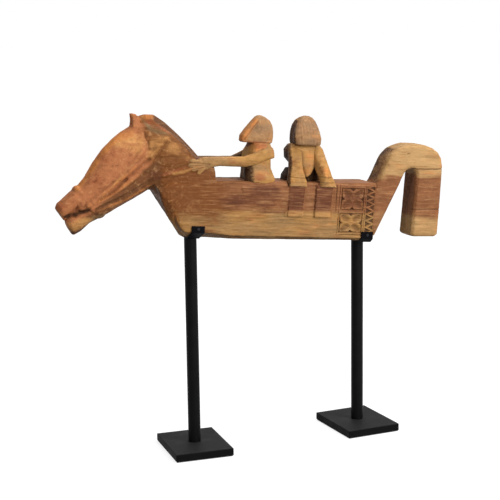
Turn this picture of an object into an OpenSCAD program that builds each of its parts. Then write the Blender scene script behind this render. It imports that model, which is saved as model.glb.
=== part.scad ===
// Carved wooden horse with two riders, held above a floor on a two-post steel stand.
// X runs along the horse, nose at -X and tail at +X. The side that the rear rider faces is -Y.
// The carving is cut from one log: its nodes meet face to face on the carver's own boundaries.

/* [Stand] */
// Distance between the axes of the two posts
post_spacing = 618; // [500:1:660]
// Height of the front post's axis above its base plate, up to the sloping seat
front_post_h = 705; // [400:1:900]
// Outer diameter of the round post tube
post_d = 42.2; // [33.7:0.1:48.3]
// Wall of the post tube
post_wall = 3.2; // [2:0.1:5]
// Size of a base plate along the horse
base_x = 200; // [150:1:300]
// Size of a base plate across the horse
base_y = 250; // [150:1:350]
// Thickness of a base plate
base_t = 25; // [12:1:40]
// Turn of the front base plate on its post, in degrees
front_base_turn = -3.4; // [-10:0.1:10]
// Turn of the rear base plate on its post, in degrees
rear_base_turn = 2.4; // [-10:0.1:10]
// Thickness of the felt under a base plate
felt_t = 3; // [1:0.5:6]
// Width of the flat bar that the cradles are bent from
cradle_w = 44; // [30:1:60]
// Thickness of that flat bar
cradle_t = 6; // [3:0.5:10]
// Height of the front cradle's sides above the trunk's underside
front_cradle_h = 42; // [32:1:60]
// Height of the rear cradle's sides above the trunk's underside
rear_cradle_h = 31; // [26:1:50]
// Diameter of the base bolt
bolt_d = 10; // [8:1:12]
// Diameter of a cradle screw
screw_d = 5; // [4:0.5:6]

/* [Horse] */
// Slope of the whole carving, nose up, in degrees
carving_tilt = 5.1; // [0:0.1:8]
// Width of the trunk
trunk_w = 140; // [120:1:170]
// Height of the trunk behind the neck
trunk_h = 184; // [165:1:215]
// Length of the trunk's underside
trunk_len = 680; // [640:1:760]
// How far the top of the chest leans out past the bottom
chest_lean = 122; // [80:1:140]
// Length of the head, from the middle of the cheek to the nose
head_len = 317; // [250:1:380]
// Slope of the head below the level of the trunk, in degrees
head_pitch = 39; // [25:1:50]
// Rise of the brow above the head's axis
brow_rise = 108; // [80:1:130]
// Drop of the jaw below the head's axis
jaw_drop = 94; // [70:1:115]
// Width of the head at the cheeks
cheek_w = 98; // [70:1:120]
// Height of the top of the tail above the trunk's underside
tail_h = 335; // [280:1:400]
// Width of the tail
tail_w = 98; // [60:1:120]
// Length of the tail behind the trunk
tail_len = 271; // [220:1:330]
// Thickness of the hanging end of the tail along the horse
tail_block = 106; // [70:1:125]

/* [Riders] */
// Place of the front rider's spine along the trunk, behind the front post
front_rider_x = 214; // [190:1:240]
// Place of the rear rider's middle along the trunk, behind the front post
rear_rider_x = 392; // [370:1:410]
// Height of the underside of a rider's head above the trunk's top
shoulder_h = 134; // [115:1:155]
// Height of a rider's head
head_h = 90; // [70:1:110]
// Length of a rider's head, front to back
helmet_len = 114; // [90:1:140]
// Width of a rider's head
helmet_w = 94; // [70:1:120]
// How far the legs stand out from the trunk's side
leg_relief = 16; // [8:1:24]

/* [Hidden] */

eps = 0.01;              // lets a cutting shape run past the face it cuts
plug_h = 22;             // height of the plug welded into the foot of a post
bolt_grip = 16;          // length of bolt inside the plug
bolt_clear = 0.5;        // clearance of the bolt in the base plate, on the diameter
bolt_head_d = 2 * bolt_d;
bolt_head_h = bolt_d / 2;
felt_inset = 3;          // border left bare round the felt
base_edge = 1.5;         // chamfer along a base plate's edges
screw_head_d = 2 * screw_d;
screw_head_h = 0.6 * screw_d;
screw_grip = 28;         // length of screw inside the wood

half_w = trunk_w / 2;
base_top = felt_t + base_t;
front_chamfer = [45, 23]; // bottom edge of the trunk over the front cradle: across, up
rear_chamfer = [11, 10];  // bottom edge of the trunk over the rear cradle: across, up
top_chamfer = 7;

// Trunk: places along X, from the front post
chest_bottom_x = -36;
chest_top_x = chest_bottom_x - chest_lean;
trunk_rear_x = chest_bottom_x + trunk_len;
tail_x = trunk_rear_x + tail_len;
rear_seat_x = post_spacing / cos(carving_tilt);

// Head: its own frame has its origin in the cheek, runs along the nose and rises to the brow
cheek_x = chest_top_x - 32;
cheek_z = trunk_h + 66;
nose_x = cheek_x - head_len * cos(head_pitch) - 0.38 * brow_rise * sin(head_pitch);
nose_z = cheek_z - head_len * sin(head_pitch) + 0.38 * brow_rise * cos(head_pitch);

// The origin is on the floor, under the middle of the whole length
nose_reach = nose_x * cos(carving_tilt) + nose_z * sin(carving_tilt);
tail_reach = tail_x * cos(carving_tilt) + (tail_h - 60) * sin(carving_tilt);
front_post_x = -(nose_reach + tail_reach) / 2;
rear_post_x = front_post_x + post_spacing;
seat_z = base_top + front_post_h + cradle_t / cos(carving_tilt);

sides = 20;              // facets round a carved form

// ---------- general forms ----------

// Ring of points round c, in the plane of the half axes u and v; n = 2 is an ellipse, more is squarer
function ring(c, u, v, n = 2.4, k = sides) = [
    for (i = [0 : k - 1])
        let (a = 360 * i / k, ca = cos(a), sa = sin(a))
        c + u * sign(ca) * pow(abs(ca), 2 / n) + v * sign(sa) * pow(abs(sa), 2 / n)
];

// Solid through a list of rings; each ring turns left-handed as seen looking back along the row
module loft(rings) {
    k = len(rings[0]);
    last = len(rings) - 1;
    skin = [
        for (r = [0 : last - 1], i = [0 : k - 1])
            let (j = (i + 1) % k, a = r * k + i, b = r * k + j)
            each [[a, a + k, b + k], [a, b + k, b]]
    ];
    start = [for (i = [0 : k - 1]) i];
    end = [for (i = [k - 1 : -1 : 0]) last * k + i];
    polyhedron(points = [for (q = rings) each q], faces = concat(skin, [start, end]));
}

function unit(v) = v / norm(v);

// Ring square to the way w, with half widths across and up
function limb_ring(c, w, across, up, n) =
    let (s = unit(cross([0, 0, 1], w)), t = cross(unit(w), s))
    ring(c, s * across, t * up, n, 16);

// Limb along a list of [centre, half width across, half width up]
module limb(path, n = 2.6) {
    last = len(path) - 1;
    loft([
        for (i = [0 : last])
            limb_ring(path[i][0], path[min(i + 1, last)][0] - path[max(i - 1, 0)][0],
                      path[i][1], path[i][2], n)
    ]);
}

// Upright form on rows of [z, x0, x1, y0, y1, n]; prow is how much narrower it is at x0 than at x1
module upright(rows, prow = 0) {
    loft([
        for (r = rows)
            [
                for (p = ring([(r[1] + r[2]) / 2, (r[3] + r[4]) / 2, r[0]],
                              [(r[2] - r[1]) / 2, 0, 0], [0, (r[4] - r[3]) / 2, 0], r[5]))
                    [p[0], p[1] * (1 - prow * (r[2] - p[0]) / (r[2] - r[1])), p[2]]
            ]
    ]);
}

// Form between a top line and a bottom line in the XZ plane: [top, bottom, half width, n]
module keel(rows) {
    loft([
        for (r = rows)
            let (top = [r[0][0], 0, r[0][1]], low = [r[1][0], 0, r[1][1]])
            ring((top + low) / 2, [0, r[2], 0], (top - low) / 2, r[3], 24)
    ]);
}

// Puts the carving on the stand: its own origin is the trunk's underside over the front post
module carved() {
    translate([front_post_x, 0, seat_z]) rotate([0, carving_tilt, 0]) children();
}

// ---------- stand ----------

module floor_felt(x, turn) {
    color([0.16, 0.16, 0.17])
        translate([x, 0, 0]) rotate([0, 0, turn])
            translate([felt_inset - base_x / 2, felt_inset - base_y / 2, 0])
                cube([base_x - 2 * felt_inset, base_y - 2 * felt_inset, felt_t]);
}

// Block with every edge chamfered
module chamfered_plate(size, e) {
    intersection() {
        linear_extrude(size[2]) chamfered_rectangle(size[0], size[1], e);
        translate([0, size[1] / 2, size[2] / 2]) rotate([90, 0, 0])
            linear_extrude(size[1]) chamfered_rectangle(size[0], size[2], e);
        translate([-size[0] / 2, 0, size[2] / 2]) rotate([90, 0, 90])
            linear_extrude(size[0]) chamfered_rectangle(size[1], size[2], e);
    }
}

module chamfered_rectangle(a, b, e) {
    x = a / 2;
    y = b / 2;
    polygon([
        [-x + e, -y], [x - e, -y], [x, -y + e], [x, y - e],
        [x - e, y], [-x + e, y], [-x, y - e], [-x, -y + e]
    ]);
}

module base_plate(x, turn) {
    color([0.13, 0.13, 0.14])
        translate([x, 0, felt_t]) difference() {
            rotate([0, 0, turn]) chamfered_plate([base_x, base_y, base_t], base_edge);
            translate([0, 0, -eps]) cylinder(h = base_t + 2 * eps, d = bolt_d + bolt_clear, $fn = 48);
            translate([0, 0, -eps]) cylinder(h = bolt_head_h + bolt_clear, d1 = bolt_head_d + 1,
                                             d2 = bolt_d + bolt_clear, $fn = 48);
        }
}

// Flat-headed bolt that comes up through the base plate into the plug
module base_bolt(x) {
    translate([x, 0, felt_t + 0.3]) {
        cylinder(h = bolt_head_h, d1 = bolt_head_d, d2 = bolt_d, $fn = 48);
        translate([0, 0, bolt_head_h])
            cylinder(h = base_t - 0.3 - bolt_head_h + bolt_grip, d = bolt_d, $fn = 48);
    }
}

module base_bolts() {
    color([0.45, 0.45, 0.47]) {
        base_bolt(front_post_x);
        base_bolt(rear_post_x);
    }
}

module foot_plug(x) {
    color([0.30, 0.30, 0.32])
        translate([x, 0, base_top]) difference() {
            cylinder(h = plug_h, d = post_d - 2 * post_wall, $fn = 64);
            translate([0, 0, -eps]) cylinder(h = bolt_grip + eps, d = bolt_d, $fn = 48);
            translate([0, 0, bolt_grip - eps]) cylinder(h = plug_h, d = bolt_d - 1.5, $fn = 48);
        }
}

// Tube from the base plate up to the slope of the carving
module post(x) {
    h = front_post_h - (x - front_post_x) * tan(carving_tilt);
    over = post_d;
    color([0.12, 0.12, 0.13])
        translate([x, 0, base_top]) difference() {
            cylinder(h = h + over, d = post_d, $fn = 64);
            translate([0, 0, -eps]) cylinder(h = h + over + 1, d = post_d - 2 * post_wall, $fn = 64);
            translate([0, 0, h]) rotate([0, carving_tilt, 0])
                translate([-post_d, -post_d, 0]) cube([2 * post_d, 2 * post_d, 3 * over]);
        }
}

// Point b moved out by t from the corner a-b-c of a line, keeping both legs parallel
function mitre(a, b, c, t) =
    let (p = unit(b - a), q = unit(c - b), n1 = [p[1], -p[0]], n2 = [q[1], -q[0]])
    b + t * (n1 + n2) / (1 + n1 * n2);

// Line of the cradle across the horse: side, chamfer, underside, chamfer, side
function cradle_line(h, chamfer) = [
    [-half_w, h], [-half_w, chamfer[1]], [-half_w + chamfer[0], 0],
    [half_w - chamfer[0], 0], [half_w, chamfer[1]], [half_w, h]
];

// Flat bar bent round the underside of the trunk, with a screw hole in each side
module cradle(x, h, chamfer) {
    inner = cradle_line(h, chamfer);
    outer = concat(
        [[-half_w - cradle_t, h]],
        [for (i = [1 : 4]) mitre(inner[i - 1], inner[i], inner[i + 1], cradle_t)],
        [[half_w + cradle_t, h]]
    );
    color([0.10, 0.10, 0.12])
        carved() translate([x, 0, 0]) difference() {
            translate([-cradle_w / 2, 0, 0]) rotate([90, 0, 90]) linear_extrude(cradle_w)
                polygon(concat(inner, [for (i = [5 : -1 : 0]) outer[i]]));
            translate([0, half_w + 2 * cradle_t, screw_height(h, chamfer)]) rotate([90, 0, 0])
                cylinder(h = trunk_w + 4 * cradle_t, d = screw_d, $fn = 32);
        }
}

// The screws sit half way up the flat side of a cradle
function screw_height(h, chamfer) = (h + chamfer[1]) / 2;

// Round-headed screw through the near side of a cradle
module cradle_screw(x, z) {
    translate([x, -half_w - cradle_t, z]) rotate([90, 0, 0]) {
        translate([0, 0, -cradle_t - screw_grip])
            cylinder(h = cradle_t + screw_grip, d = screw_d, $fn = 32);
        cylinder(h = screw_head_h / 2, d = screw_head_d, $fn = 32);
        translate([0, 0, screw_head_h / 2])
            cylinder(h = screw_head_h / 2, d1 = screw_head_d, d2 = screw_head_d * 0.6, $fn = 32);
    }
}

module cradle_screws() {
    color([0.14, 0.14, 0.16])
        carved() for (side = [0, 1]) mirror([0, side, 0]) {
            cradle_screw(0, screw_height(front_cradle_h, front_chamfer));
            cradle_screw(rear_seat_x, screw_height(rear_cradle_h, rear_chamfer));
        }
}

// ---------- horse ----------

// Section of the trunk at x, from its underside to the height top, h wide on each side
function trunk_ring(x, top, h, chamfer, e, lean = 0) =
    let (a = chamfer[0], b = chamfer[1])
    [
        for (p = [[-h + a, 0], [h - a, 0], [h, b], [h, top - e], [h - e, top],
                  [-h + e, top], [-h, top - e], [-h, b]])
            [x - lean * p[1] / trunk_h, p[0], p[1]]
    ];

// The trunk is a hull-like block: a raked chest like a stem, flat sides and a slightly rising back
module trunk_solid() {
    front_edge = cradle_w / 2 + 8;
    soft = [16, 14];
    loft([
        trunk_ring(chest_bottom_x, trunk_h - 10, half_w - 9, [half_w - 24, 150], 18, chest_lean),
        trunk_ring(chest_bottom_x + 6, trunk_h, half_w - 3, [half_w - 24, 96], 12, chest_lean * 0.62),
        trunk_ring(-front_edge + 8, trunk_h + 4, half_w, front_chamfer, top_chamfer),
        trunk_ring(front_edge, trunk_h + 6, half_w, front_chamfer, top_chamfer),
        trunk_ring(front_edge + 87, trunk_h + 8, half_w, soft, top_chamfer),
        trunk_ring(rear_seat_x - 60, trunk_h + 13, half_w, rear_chamfer, top_chamfer),
        trunk_ring(trunk_rear_x - 26, trunk_h + 14, half_w, rear_chamfer, 8),
        trunk_ring(trunk_rear_x, trunk_h + 14, half_w - 1, rear_chamfer, 8)
    ]);
}

module horse_trunk() {
    color([0.58, 0.38, 0.25])
        carved() difference() {
            trunk_solid();
            for (side = [0, 1]) mirror([0, side, 0]) {
                pilot_hole(0, screw_height(front_cradle_h, front_chamfer));
                pilot_hole(rear_seat_x, screw_height(rear_cradle_h, rear_chamfer));
            }
        }
}

module pilot_hole(x, z) {
    translate([x, -half_w - 1, z]) rotate([-90, 0, 0])
        cylinder(h = screw_grip + 1, d = screw_d, $fn = 32);
}

// Point in the head's own frame: along the nose, up to the brow
function head_point(along, rise) = [
    cheek_x - along * cos(head_pitch) - rise * sin(head_pitch),
    cheek_z - along * sin(head_pitch) + rise * cos(head_pitch)
];

// Rows of the head: brow along, brow rise, jaw along, jaw drop, half width, squareness,
// as shares of the head's length, brow_rise, jaw_drop and cheek_w
HEAD = [
    [1.00, 0.39, 1.00, 0.10, 0.20, 2.0],
    [0.96, 0.46, 0.97, 0.00, 0.27, 2.2],
    [0.87, 0.475, 0.89, -0.05, 0.31, 2.3],
    [0.77, 0.48, 0.82, -0.08, 0.33, 2.4],
    [0.70, 0.50, 0.81, 0.66, 0.36, 2.4],
    [0.56, 0.61, 0.70, 0.73, 0.41, 2.4],
    [0.41, 0.79, 0.58, 0.81, 0.45, 2.4],
    [0.25, 0.94, 0.44, 0.89, 0.48, 2.4],
    [0.12, 1.00, 0.33, 0.95, 0.50, 2.4],
    [0.00, 1.02, 0.21, 1.00, 0.51, 2.4],
    [-0.12, 0.98, 0.12, 1.02, 0.52, 2.4]
];

module head_and_neck_solid() {
    head = [
        for (s = HEAD)
            [head_point(s[0] * head_len, s[1] * brow_rise),
             head_point(s[2] * head_len, -s[3] * jaw_drop), s[4] * cheek_w, s[5]]
    ];
    crest = head_point(-0.12 * head_len, 0.98 * brow_rise);
    // the throat ends just over the top of the chest
    throat = [[crest[0] + 16, crest[1] + 7], [chest_top_x + 17, trunk_h - 36], 53, 2.7];
    neck = [
        for (s = [[0.16, 14, 0.20, 55], [0.40, 4, 0.36, 60], [0.66, -36, 0.55, 65],
                  [0.88, -88, 0.76, 68], [1.10, -101, 1.10, half_w - 1]])
            [[crest[0] + s[0] * 250, crest[1] + s[1]],
             [chest_top_x + 33 + s[2] * 170, trunk_h * 0.5], s[3], 3]
    ];
    keel(concat(head, [throat], neck));
}

// Lower lip and chin under the mouth, which is a deep groove on each side of a web
module lower_jaw_solid() {
    keel([
        [head_point(0.965 * head_len, 0.1 * brow_rise), head_point(0.98 * head_len, -0.3 * jaw_drop),
         11, 2.4],
        [head_point(0.74 * head_len, 0.1 * brow_rise), head_point(0.78 * head_len, -0.3 * jaw_drop),
         21, 2.4]
    ]);
    keel([
        [head_point(0.99 * head_len, -0.12 * jaw_drop), head_point(1.01 * head_len, -0.38 * jaw_drop),
         17, 2],
        [head_point(0.94 * head_len, -0.06 * jaw_drop), head_point(1.01 * head_len, -0.65 * jaw_drop),
         24, 2.2],
        [head_point(0.84 * head_len, -0.02 * jaw_drop), head_point(0.935 * head_len, -0.69 * jaw_drop),
         28, 2.3],
        [head_point(0.7 * head_len, 0.06 * jaw_drop), head_point(0.8 * head_len, -0.65 * jaw_drop),
         31, 2.4]
    ]);
}

module horse_head_and_neck() {
    color([0.62, 0.36, 0.22])
        carved() difference() {
            union() {
                head_and_neck_solid();
                lower_jaw_solid();
            }
            trunk_solid();
        }
}

// Crest of the neck: a roll of hair from the poll to the withers
module mane_solid() {
    poll = head_point(-0.22 * head_len, 1.02 * brow_rise);
    limb([
        [[poll[0] - 8, 0, poll[1] - 7], 8, 10],
        [[poll[0] + 3, 0, poll[1] - 3], 10, 12],
        [[poll[0] + 22, 0, poll[1]], 13, 15],
        [[poll[0] + 46, 0, poll[1] - 2], 15, 18],
        [[poll[0] + 80, 0, poll[1] - 22], 16, 18],
        [[poll[0] + 112, 0, poll[1] - 47], 17, 18],
        [[poll[0] + 152, 0, poll[1] - 82], 16, 19],
        [[poll[0] + 208, 0, poll[1] - 127], 11, 14]
    ]);
}

module horse_mane() {
    color([0.50, 0.22, 0.15])
        carved() difference() {
            mane_solid();
            head_and_neck_solid();
            trunk_solid();
        }
}

// Upright ear with a slanting top: foot and tip are on the forehead's line
module ear_solid(side) {
    foot = head_point(-0.12 * head_len, 0.92 * brow_rise);
    x = foot[0];
    z = foot[1];
    mirror([0, side < 0 ? 0 : 1, 0])
        upright([
            [z - 6, x - 6, x + 22, -21, -3, 2.6],
            [z + 18, x - 4, x + 21, -20, -4, 2.6],
            [z + 28, x - 5, x + 20, -18, -5, 2.6],
            [z + 37, x - 8, x + 15, -16, -6, 2.4],
            [z + 44, x - 9, x + 6, -14, -7, 2.2]
        ]);
}

module horse_ears() {
    color([0.68, 0.42, 0.26])
        carved() difference() {
            union() {
                ear_solid(-1);
                ear_solid(1);
            }
            head_and_neck_solid();
            mane_solid();
        }
}

// Strap in relief on both cheeks, through points given as [along, rise, half breadth] on the head
module strap(points, thick) {
    for (side = [-1, 1])
        limb([
            for (p = points)
                let (q = head_point(p[0] * head_len, p[1] * brow_rise))
                [[q[0], side * p[2], q[1]], thick, thick]
        ], 2);
}

// Raised band round the muzzle, just behind the mouth
module noseband_solid() {
    keel([
        [head_point(0.745 * head_len, 0.525 * brow_rise), head_point(0.700 * head_len, -0.74 * jaw_drop),
         0.36 * cheek_w, 2.4],
        [head_point(0.735 * head_len, 0.545 * brow_rise), head_point(0.690 * head_len, -0.78 * jaw_drop),
         0.38 * cheek_w, 2.4],
        [head_point(0.705 * head_len, 0.555 * brow_rise), head_point(0.655 * head_len, -0.80 * jaw_drop),
         0.39 * cheek_w, 2.4],
        [head_point(0.695 * head_len, 0.545 * brow_rise), head_point(0.645 * head_len, -0.77 * jaw_drop),
         0.38 * cheek_w, 2.4]
    ]);
}

module bridle_solid() {
    noseband_solid();
    strap([[0.74, -0.06, 34], [0.60, -0.02, 41], [0.44, 0.02, 45], [0.24, 0.06, 48], [0.08, 0.16, 50],
           [-0.06, 0.30, 51]], 8);
    strap([[0.76, -0.18, 33], [0.58, -0.32, 38], [0.40, -0.42, 42], [0.22, -0.50, 45],
           [0.06, -0.52, 48], [-0.10, -0.44, 53]], 7);
}

module bridle_and_reins() {
    color([0.64, 0.36, 0.20])
        carved() difference() {
            bridle_solid();
            head_and_neck_solid();
            lower_jaw_solid();
            trunk_solid();
        }
}

// Rows of the tail along its arch: [inner point, outer point]
function tail_rows() =
    let (x0 = trunk_rear_x, x1 = tail_x, gap = x1 - tail_block, top = tail_h,
         foot = [x0 + 22, 16], bend = [gap - 46, 0.69 * top])
    [
        [foot, [x0, 14]],
        [foot + 0.62 * (bend - foot), [x0, 0.52 * top]],
        [foot + 0.76 * (bend - foot), [x0 + 20, 0.6 * top]],
        [foot + 0.89 * (bend - foot), [x0 + 36, 0.73 * top]],
        [bend, [x0 + 55, top - 45]],
        [[gap - 42, 0.72 * top], [x0 + 81, top - 17]],
        [[gap - 36, 0.74 * top], [x0 + 112, top - 5]],
        [[gap - 26, 0.75 * top], [(x0 + x1) / 2, top]],
        [[gap - 14, 0.75 * top], [x1 - 80, top]],
        [[gap - 6, 0.738 * top], [x1 - 48, top - 10]],
        [[gap - 1, 0.718 * top], [x1 - 25, top - 24]],
        [[gap + 2, 0.69 * top], [x1 - 10, top - 45]],
        [[gap + 2, 0.64 * top], [x1 - 3, top - 73]],
        [[gap + 1, 0.33 * top], [x1, 0.33 * top]],
        [[gap, 20], [x1, 22]],
        [[gap + 6, 13], [x1 - 7, 14]]
    ];

// Section from the inner point p to the outer point q, w wide on each side, its edges cut off by e
function beam_ring(p, q, w, e) =
    let (u = unit(q - p) * e)
    [
        for (c = [[p, e - w], [p, w - e], [p + u, w], [q - u, w],
                  [q, w - e], [q, e - w], [q - u, -w], [p + u, -w]])
            [c[0][0], c[1], c[0][1]]
    ];

module horse_tail() {
    rows = tail_rows();
    last = len(rows) - 1;
    color([0.74, 0.52, 0.32])
        carved() loft([
            for (i = [0 : last])
                beam_ring(rows[i][0], rows[i][1], tail_w / 2 - (i == last ? 6 : 0), 9)
        ]);
}

// ---------- riders ----------

trunk_top = trunk_h + 1;      // height that the riders' own sizes are taken from

// Rounded helmet-like head with a flat underside and a sloping front, facing -X
module rider_head_solid(h, prow) {
    l = helmet_len;
    w = helmet_w / 2;
    upright([
        [0, -0.47 * l, 0.42 * l, -0.94 * w, 0.94 * w, 4],
        [0.05 * h, -0.50 * l, 0.45 * l, -0.98 * w, 0.98 * w, 4],
        [0.24 * h, -0.49 * l, 0.46 * l, -w, w, 4],
        [0.46 * h, -0.37 * l, 0.46 * l, -0.98 * w, 0.98 * w, 3.6],
        [0.66 * h, -0.25 * l, 0.43 * l, -0.90 * w, 0.90 * w, 3.2],
        [0.83 * h, -0.15 * l, 0.36 * l, -0.74 * w, 0.74 * w, 2.8],
        [0.94 * h, -0.07 * l, 0.23 * l, -0.50 * w, 0.50 * w, 2.4],
        [h, 0.01 * l, 0.12 * l, -0.20 * w, 0.20 * w, 2]
    ], prow);
}

module front_rider_body_solid() {
    x = front_rider_x;
    z = trunk_top;
    upright([
        [z - 16, x - 35, x + 59, -69, 66, 4],
        [z + 18, x - 34, x + 59, -69, 66, 4],
        [z + 32, x - 35, x + 54, -64, 62, 3.6],
        [z + 52, x - 37, x + 46, -58, 57, 3.4],
        [z + 84, x - 38, x + 44, -56, 56, 3.2],
        [z + 104, x - 34, x + 48, -61, 61, 3],
        [z + 119, x - 28, x + 47, -51, 51, 2.8],
        [z + shoulder_h, x - 24, x + 43, -40, 40, 2.8]
    ]);
}

module front_rider_body() {
    color([0.80, 0.58, 0.34])
        carved() difference() {
            front_rider_body_solid();
            trunk_solid();
        }
}

module front_rider_head() {
    color([0.76, 0.52, 0.30])
        carved() translate([front_rider_x - 3, 0, trunk_top + shoulder_h]) rider_head_solid(head_h, 0.55);
}

// Arm that reaches forward to the neck: side -1 is the rider's left
module front_arm_solid(side, drop) {
    x = front_rider_x;
    z = trunk_top;
    limb([
        [[x + 38, side * 50, z + 106], 16, 20],
        [[x + 10, side * 54, z + 98], 17, 20],
        [[x - 26, side * 57, z + 82 - drop / 2], 16, 19],
        [[x - 62, side * 57, z + 72 - drop], 14, 17],
        [[x - 150, side * 58, z + 71 - drop], 14, 15],
        [[x - 178, side * 60, z + 68 - drop], 13, 17],
        [[x - 204, side * 61, z + 62 - drop], 11, 22],
        [[x - 226, side * 62, z + 55 - drop], 6, 19]
    ]);
    // four fingers, fanned out over the neck and touching one another
    for (tip = [[-256, 69], [-262, 55], [-252, 42], [-232, 31]])
        limb([
            [[x - 188, side * 61, z + 61 - drop], 8, 9],
            [[x - 188 + 0.5 * (tip[0] + 188), side * 65, z + (61 + tip[1]) / 2 - drop], 8, 7.5],
            [[x + tip[0] + 9, side * 63, z + tip[1] - drop], 7, 7],
            [[x + tip[0], side * 60, z + tip[1] - 1 - drop], 4, 4]
        ]);
}

module front_arm(side, drop) {
    color([0.76, 0.54, 0.33])
        carved() difference() {
            front_arm_solid(side, drop);
            front_rider_body_solid();
            head_and_neck_solid();
            trunk_solid();
        }
}

module front_rider_left_arm() {
    front_arm(-1, 0);
}

module front_rider_right_arm() {
    front_arm(1, 9);
}

// Bent leg in low relief on the trunk's side: thigh, knee and toe, from the hip down
function leg_outline() =
    let (x = front_rider_x, z = trunk_h)
    [
        [x + 66, z - 10], [x - 70, z - 10], [x - 64, z - 24], [x - 38, z - 52], [x - 18, z - 74],
        [x - 12, z - 88], [x - 18, z - 102], [x + 6, z - 102], [x + 18, z - 84], [x + 48, z - 74],
        [x + 76, z - 58], [x + 90, z - 36]
    ];

module front_leg(side) {
    thick = 4;
    translate([0, side * half_w + (side < 0 ? 0 : thick), 0]) rotate([90, 0, 0])
        linear_extrude(thick) polygon(leg_outline());
}

module front_rider_legs() {
    color([0.55, 0.36, 0.27])
        carved() {
            front_leg(-1);
            front_leg(1);
        }
}

module rear_rider_body_solid() {
    x = rear_rider_x;
    z = trunk_top + 5;
    upright([
        [z - 12, x - 8, x + 34, -34, 56, 2.4],
        [z + 20, x - 14, x + 38, -38, 56, 2.4],
        [z + 54, x - 34, x + 44, -40, 54, 2.6],
        [z + 80, x - 60, x + 50, -38, 58, 3],
        [z + 108, x - 63, x + 50, -32, 58, 3],
        [z + shoulder_h - 9, x - 52, x + 40, -26, 50, 2.8],
        [z + shoulder_h - 5, x - 42, x + 36, -24, 44, 2.6]
    ]);
    upright([
        [z - 12, x - 72, x - 14, -38, 40, 3],
        [z + 22, x - 71, x - 14, -38, 40, 3],
        [z + 46, x - 58, x - 14, -30, 34, 2.6]
    ]);
    upright([
        [z - 12, x + 10, x + 66, 0, 50, 3],
        [z + 26, x + 10, x + 64, 2, 48, 3],
        [z + 42, x + 14, x + 54, 8, 42, 2.6]
    ]);
}

module rear_rider_body() {
    color([0.72, 0.48, 0.28])
        carved() difference() {
            rear_rider_body_solid();
            trunk_solid();
        }
}

module rear_rider_head() {
    color([0.74, 0.50, 0.32])
        carved() translate([rear_rider_x + 4, 4, trunk_top + shoulder_h]) rotate([0, 0, 90])
            rider_head_solid(head_h + 5, 0.1);
}

// Straight arm down to the edge of the trunk, ending in a square hand: sx -1 is the rider's right.
// Its rows: out from the spine on the right and on the left, y, height, half widths
module rear_arm_solid(sx) {
    x = rear_rider_x + 3;
    z = trunk_top;
    limb([
        for (r = [[36, 34, 6, 124, 20, 16], [41, 38, -8, 110, 24, 19], [47, 43, -30, 82, 22, 19],
                  [54, 51, -50, 50, 23, 19], [56, 61, -60, 24, 30, 18], [56, 65, -65, 10, 35, 17],
                  [56, 65, -67, -4, 35, 17]])
            [[x + (sx < 0 ? -r[0] : r[1]), r[2], z + r[3]], r[4], r[5]]
    ], 3.4);
}

module rear_rider_arms() {
    color([0.78, 0.56, 0.32])
        carved() difference() {
            union() {
                rear_arm_solid(-1);
                rear_arm_solid(1);
            }
            rear_rider_body_solid();
            trunk_solid();
        }
}

// Slab of a leg on the trunk's side, with the foot as a step at its end
module rear_leg(sx) {
    w = 65;
    foot = 19;
    x = rear_rider_x + sx * 53 - w / 2;
    z = trunk_h - 104;
    translate([x, -half_w - leg_relief, z + foot]) cube([w, leg_relief, 88]);
    translate([x - 1, -half_w - leg_relief - 2, z]) cube([w + 2, leg_relief + 2, foot]);
}

module rear_rider_legs() {
    color([0.50, 0.30, 0.24])
        carved() difference() {
            union() {
                rear_leg(-1);
                rear_leg(1);
            }
            rear_arm_solid(-1);
            rear_arm_solid(1);
        }
}

floor_felt(front_post_x, front_base_turn);  // front_floor_felt
floor_felt(rear_post_x, rear_base_turn);  // rear_floor_felt
base_plate(front_post_x, front_base_turn);  // front_base_plate
base_plate(rear_post_x, rear_base_turn);  // rear_base_plate
base_bolts();
foot_plug(front_post_x);  // front_foot_plug
foot_plug(rear_post_x);  // rear_foot_plug
post(front_post_x);  // front_post
post(rear_post_x);  // rear_post
cradle(0, front_cradle_h, front_chamfer);  // front_cradle
cradle(rear_seat_x, rear_cradle_h, rear_chamfer);  // rear_cradle
cradle_screws();
horse_trunk();
horse_head_and_neck();
horse_ears();
horse_mane();
bridle_and_reins();
horse_tail();
front_rider_body();
front_rider_head();
front_rider_left_arm();
front_rider_right_arm();
front_rider_legs();
rear_rider_body();
rear_rider_head();
rear_rider_arms();
rear_rider_legs();
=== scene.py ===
"""Looks of the carved horse with two riders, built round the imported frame. Run inside Blender 4.5.

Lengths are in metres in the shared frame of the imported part. Sizes on the carving are written in
millimetres in the carving's own frame: x behind the front post, y across, z above the trunk's
underside. The near side, at negative y, is the one with the carved panels.
"""

import math

import bmesh
import bpy
import numpy as np
from mathutils import Matrix, Vector, noise


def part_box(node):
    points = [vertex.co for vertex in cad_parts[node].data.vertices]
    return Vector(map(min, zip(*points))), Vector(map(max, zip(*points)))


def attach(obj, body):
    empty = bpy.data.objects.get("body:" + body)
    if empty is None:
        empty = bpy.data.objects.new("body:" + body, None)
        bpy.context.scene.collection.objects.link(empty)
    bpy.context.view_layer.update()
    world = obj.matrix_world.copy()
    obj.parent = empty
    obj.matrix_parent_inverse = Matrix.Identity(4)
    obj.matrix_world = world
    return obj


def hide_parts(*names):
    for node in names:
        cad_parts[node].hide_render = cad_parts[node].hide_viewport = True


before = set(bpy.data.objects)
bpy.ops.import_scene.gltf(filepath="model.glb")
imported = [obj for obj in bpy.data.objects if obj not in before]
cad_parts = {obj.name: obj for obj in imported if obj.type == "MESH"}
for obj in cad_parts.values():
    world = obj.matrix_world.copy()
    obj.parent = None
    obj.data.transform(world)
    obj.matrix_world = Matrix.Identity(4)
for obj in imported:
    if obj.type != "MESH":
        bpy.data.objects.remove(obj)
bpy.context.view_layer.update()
MM = 0.001

# ---------- the carving's own frame ----------

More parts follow.
